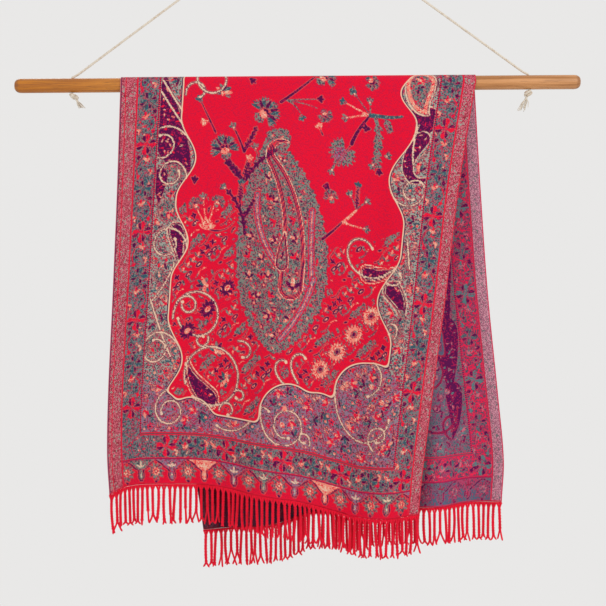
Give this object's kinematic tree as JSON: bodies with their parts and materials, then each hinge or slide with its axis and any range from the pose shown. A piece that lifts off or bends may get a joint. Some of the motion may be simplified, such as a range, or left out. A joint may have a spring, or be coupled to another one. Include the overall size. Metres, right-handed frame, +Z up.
{
  "type": "fringed pashmina shawl hung on a wooden rod with a cord",
  "caption": "Woven paisley shawl with twisted fringes at both ends, folded over a round wooden rod that hangs from a cotton cord knotted under the rod.",
  "frame": {"origin": "underside of the hanging cord's bend, where a wall hook bears", "axes": "+X along the rod to its right end, +Y back towards the wall, +Z up, so that the shawl's front fall is on the -Y side"},
  "size_m": [1.119, 0.1195, 1.3042],
  "materials": {
    "wood": "satin",
    "cord": "matt cotton",
    "shawl_face": "soft brushed twill",
    "shawl_reverse": "soft brushed twill",
    "fringe": "soft twisted yarn"
  },
  "bodies": {
    "root": {"rod": "wood", "cord": "cord", "knot_left": "cord", "knot_right": "cord", "shawl_front": "shawl_face", "shawl_back": "shawl_reverse", "fringe_front": "fringe", "fringe_back": "fringe"}
  },
  "joints": []
}
